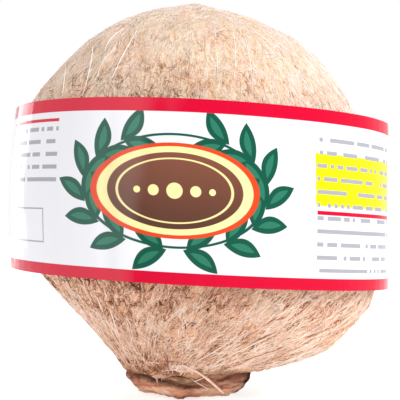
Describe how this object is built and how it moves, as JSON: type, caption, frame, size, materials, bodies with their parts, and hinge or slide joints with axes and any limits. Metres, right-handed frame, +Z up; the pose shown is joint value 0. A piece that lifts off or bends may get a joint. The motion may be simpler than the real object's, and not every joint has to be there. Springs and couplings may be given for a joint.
{
  "type": "coconut",
  "caption": "Husked mature coconut with matted brown fibre, standing on its fibre tuft, with a printed film band round its middle.",
  "frame": {"origin": "on the flat of the woody fibre tuft that the nut rests on, a few millimetres from the tuft's middle, below the nut's apex", "axes": "+Z up through the apex, +X to the right of the band's printed front, -Y out of that front; the band's lapped seam is at the back, +Y"},
  "size_m": [0.1076, 0.1072, 0.1117],
  "materials": {
    "husk_fibre": "matted dry fibre, matt, tan with darker brown specks and a reddish brown tuft",
    "label_film": "glossy printed film, white with a red border stripe along both edges"
  },
  "bodies": {
    "root": {"coconut": "husk_fibre", "label_band": "label_film"}
  },
  "joints": []
}
